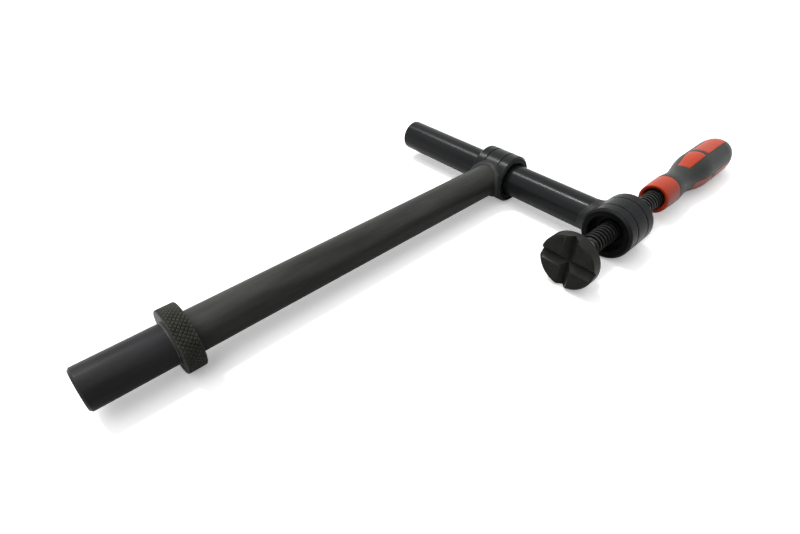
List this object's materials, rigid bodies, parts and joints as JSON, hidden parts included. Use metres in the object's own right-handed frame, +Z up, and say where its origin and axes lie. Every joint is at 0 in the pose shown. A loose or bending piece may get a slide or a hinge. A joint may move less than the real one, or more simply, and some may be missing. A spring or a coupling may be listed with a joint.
{
  "type": "screw clamp for a perforated welding table",
  "caption": "T-shaped screw clamp: a round post with a plug-in foot and knurled stop collar carries a sliding, turning arm whose screw has a swivel pad and a two-tone handle.",
  "frame": {"origin": "on the bench under the middle of the clamp's bounding box, lying flat as it is put down", "axes": "+X along the post from its foot toward the arm, +Y along the arm away from the screw, +Z up from the bench"},
  "size_m": [0.58, 0.2525, 0.0445],
  "materials": {
    "black_steel": "blackened, oiled",
    "knurled_steel": "blackened, diamond knurl",
    "weld_steel": "weld, blackened",
    "bright_steel": "turned, bare",
    "bronze": "turned, greased",
    "black_rubber": "moulded, matte",
    "soft_grip": "moulded, matte",
    "hard_red": "moulded, satin"
  },
  "bodies": {
    "post": {"post_bar": "black_steel", "post_weld": "weld_steel", "slide_ring": "black_steel"},
    "collar_slider": {"collar_o_ring": "black_rubber"},
    "collar": {"stop_collar": "knurled_steel"},
    "arm_swivel": {"arm_o_ring": "black_rubber"},
    "arm": {"arm_bar": "black_steel", "head_weld": "weld_steel", "spindle_head": "black_steel", "spindle_nut": "bright_steel"},
    "screw_carrier": {"ball_cup": "bronze"},
    "screw": {"spindle": "bright_steel", "handle_core": "hard_red", "handle_grip": "soft_grip"},
    "pad_swivel": {"retaining_ring": "bright_steel"},
    "pad": {"pressure_pad": "black_steel"}
  },
  "joints": [
    {"name": "collar_slide", "type": "slide", "parent": "post", "child": "collar_slider", "axis": [1, 0, 0], "range_m": [-0.045, 0.268]},
    {"name": "collar_turn", "type": "hinge", "parent": "collar_slider", "child": "collar", "pos_m": [-0.23297, 0.012, 0.0215], "axis": [1, 0, 0], "continuous": true},
    {"name": "arm_turn", "type": "hinge", "parent": "post", "child": "arm_swivel", "pos_m": [0.07103, 0.012, 0.0215], "axis": [0, 1, 0], "continuous": true},
    {"name": "arm_slide", "type": "slide", "parent": "arm_swivel", "child": "arm", "axis": [0, 1, 0], "range_m": [-0.095, 0.068]},
    {"name": "screw_feed", "type": "slide", "parent": "arm", "child": "screw_carrier", "axis": [0.9997, 0, -0.0225], "range_m": [-0.041, 0.03]},
    {"name": "screw_turn", "type": "hinge", "parent": "screw_carrier", "child": "screw", "pos_m": [0.07103, -0.105, 0.0215], "axis": [0.9997, 0, -0.0225], "range_deg": [-3750, 2760]},
    {"name": "pad_spin", "type": "hinge", "parent": "screw_carrier", "child": "pad_swivel", "pos_m": [0.01504, -0.105, 0.02276], "axis": [0.9997, 0, -0.0225], "continuous": true},
    {"name": "pad_tilt", "type": "hinge", "parent": "pad_swivel", "child": "pad", "pos_m": [0.01504, -0.105, 0.02276], "axis": [0, 1, 0], "range_deg": [-6, 6]}
  ],
  "couplings": [
    {"joint": "screw_turn", "follows": "screw_feed", "rad_per_m": 1570.8}
  ]
}
